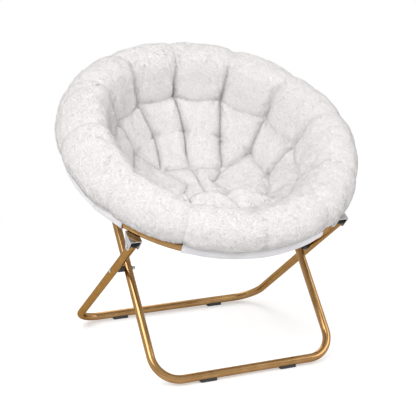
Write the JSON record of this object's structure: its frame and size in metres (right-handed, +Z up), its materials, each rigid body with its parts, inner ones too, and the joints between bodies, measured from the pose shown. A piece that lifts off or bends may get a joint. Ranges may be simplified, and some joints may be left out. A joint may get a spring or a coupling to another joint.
{
  "type": "folding saucer chair",
  "caption": "Folding saucer chair: round tube ring on two crossed U-shaped tube leg frames, canvas bowl, thick tufted fur cushion.",
  "frame": {"origin": "on the floor, at the middle of the chair's bounding box", "axes": "+Z up, +Y towards the rear of the chair, where the ring is highest, X across it"},
  "size_m": [0.8, 0.716, 0.808],
  "materials": {
    "gold_tube": "polished antique gold",
    "chrome_bracket": "bright",
    "steel_hardware": "zinc plated",
    "black_plastic": "moulded",
    "canvas": "plain weave, off-white",
    "faux_fur": "long white pile"
  },
  "bodies": {
    "rear_legs": {"rear_leg_frame": "gold_tube", "rear_frame_end_plug_right": "black_plastic", "rear_frame_end_plug_left": "black_plastic", "rear_foot_pad_right": "black_plastic", "rear_foot_pad_left": "black_plastic", "pivot_bolt_right": "steel_hardware", "pivot_bolt_left": "steel_hardware", "pivot_spacer_right": "black_plastic", "pivot_spacer_left": "black_plastic", "pivot_nut_right": "steel_hardware", "pivot_nut_left": "steel_hardware"},
    "front_legs": {"front_leg_frame": "gold_tube", "front_frame_end_plug_right": "black_plastic", "front_frame_end_plug_left": "black_plastic", "front_foot_pad_right": "black_plastic", "front_foot_pad_left": "black_plastic", "rear_bracket_bush_right": "steel_hardware", "rear_bracket_bush_left": "steel_hardware"},
    "ring_front": {"ring_front_tube": "gold_tube", "ring_hinge_front_leaf_right": "steel_hardware", "ring_hinge_front_leaf_left": "steel_hardware", "front_bracket_right": "chrome_bracket", "front_bracket_left": "chrome_bracket", "front_bracket_screw_right": "steel_hardware", "front_bracket_screw_left": "steel_hardware", "front_bracket_washers_right": "steel_hardware", "front_bracket_washers_left": "steel_hardware", "front_bracket_rivet_right": "steel_hardware", "front_bracket_rivet_left": "steel_hardware"},
    "ring_rear": {"ring_rear_tube": "gold_tube", "ring_hinge_rear_leaf_right": "steel_hardware", "ring_hinge_rear_leaf_left": "steel_hardware", "ring_hinge_pin_right": "steel_hardware", "ring_hinge_pin_left": "steel_hardware", "rear_bracket_right": "chrome_bracket", "rear_bracket_left": "chrome_bracket", "rear_bracket_screw_right": "steel_hardware", "rear_bracket_screw_left": "steel_hardware", "rear_bracket_rivet_right": "steel_hardware", "rear_bracket_rivet_left": "steel_hardware", "seat_canvas": "canvas", "seat_cushion": "faux_fur"}
  },
  "joints": [
    {"name": "fold", "type": "hinge", "parent": "rear_legs", "child": "front_legs", "pos_m": [0, -0.0521, 0.2618], "axis": [1, 0, 0], "range_deg": [0, 72], "deforming": ["seat_canvas", "seat_cushion"]},
    {"name": "front_ring_tilt", "type": "hinge", "parent": "rear_legs", "child": "ring_front", "pos_m": [0, -0.19868, 0.36173], "axis": [1, 0, 0], "range_deg": [-67, 0]},
    {"name": "ring_hinge", "type": "hinge", "parent": "ring_front", "child": "ring_rear", "pos_m": [0, -0.11724, 0.45382], "axis": [1, 0, 0], "range_deg": [0, 165.5]}
  ],
  "couplings": [
    {"joint": "front_ring_tilt", "follows": "fold", "ratio": -0.92879},
    {"joint": "ring_hinge", "follows": "fold", "ratio": 2.2967}
  ]
}
